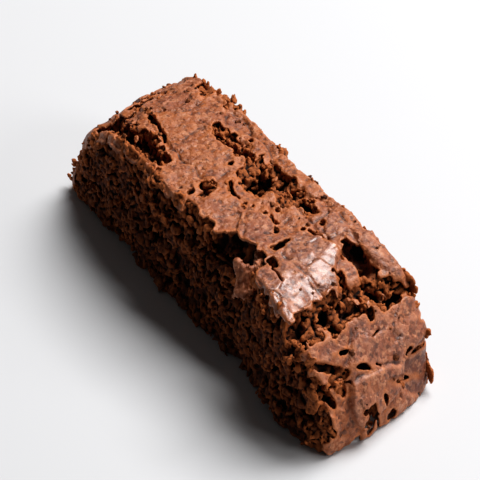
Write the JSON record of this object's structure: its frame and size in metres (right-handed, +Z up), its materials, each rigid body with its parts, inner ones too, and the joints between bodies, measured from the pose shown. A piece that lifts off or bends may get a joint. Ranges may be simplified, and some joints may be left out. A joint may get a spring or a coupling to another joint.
{
  "type": "biscotti",
  "caption": "Chocolate biscotto: one slice cut aslant from a low baked loaf, with a cracked crust over its top and ends and open crumb on both cut faces.",
  "frame": {"origin": "middle of the flat underside's bounding rectangle", "axes": "+X along the slice towards its blunter end, +Y from one cut face to the other, +Z up through the crust"},
  "size_m": [0.0896, 0.0258, 0.0213],
  "materials": {
    "biscuit": "baked chocolate dough: a pinkish brown crust with a faint sheen, matt dark brown crumb"
  },
  "bodies": {
    "root": {"biscotto": "biscuit"}
  },
  "joints": []
}
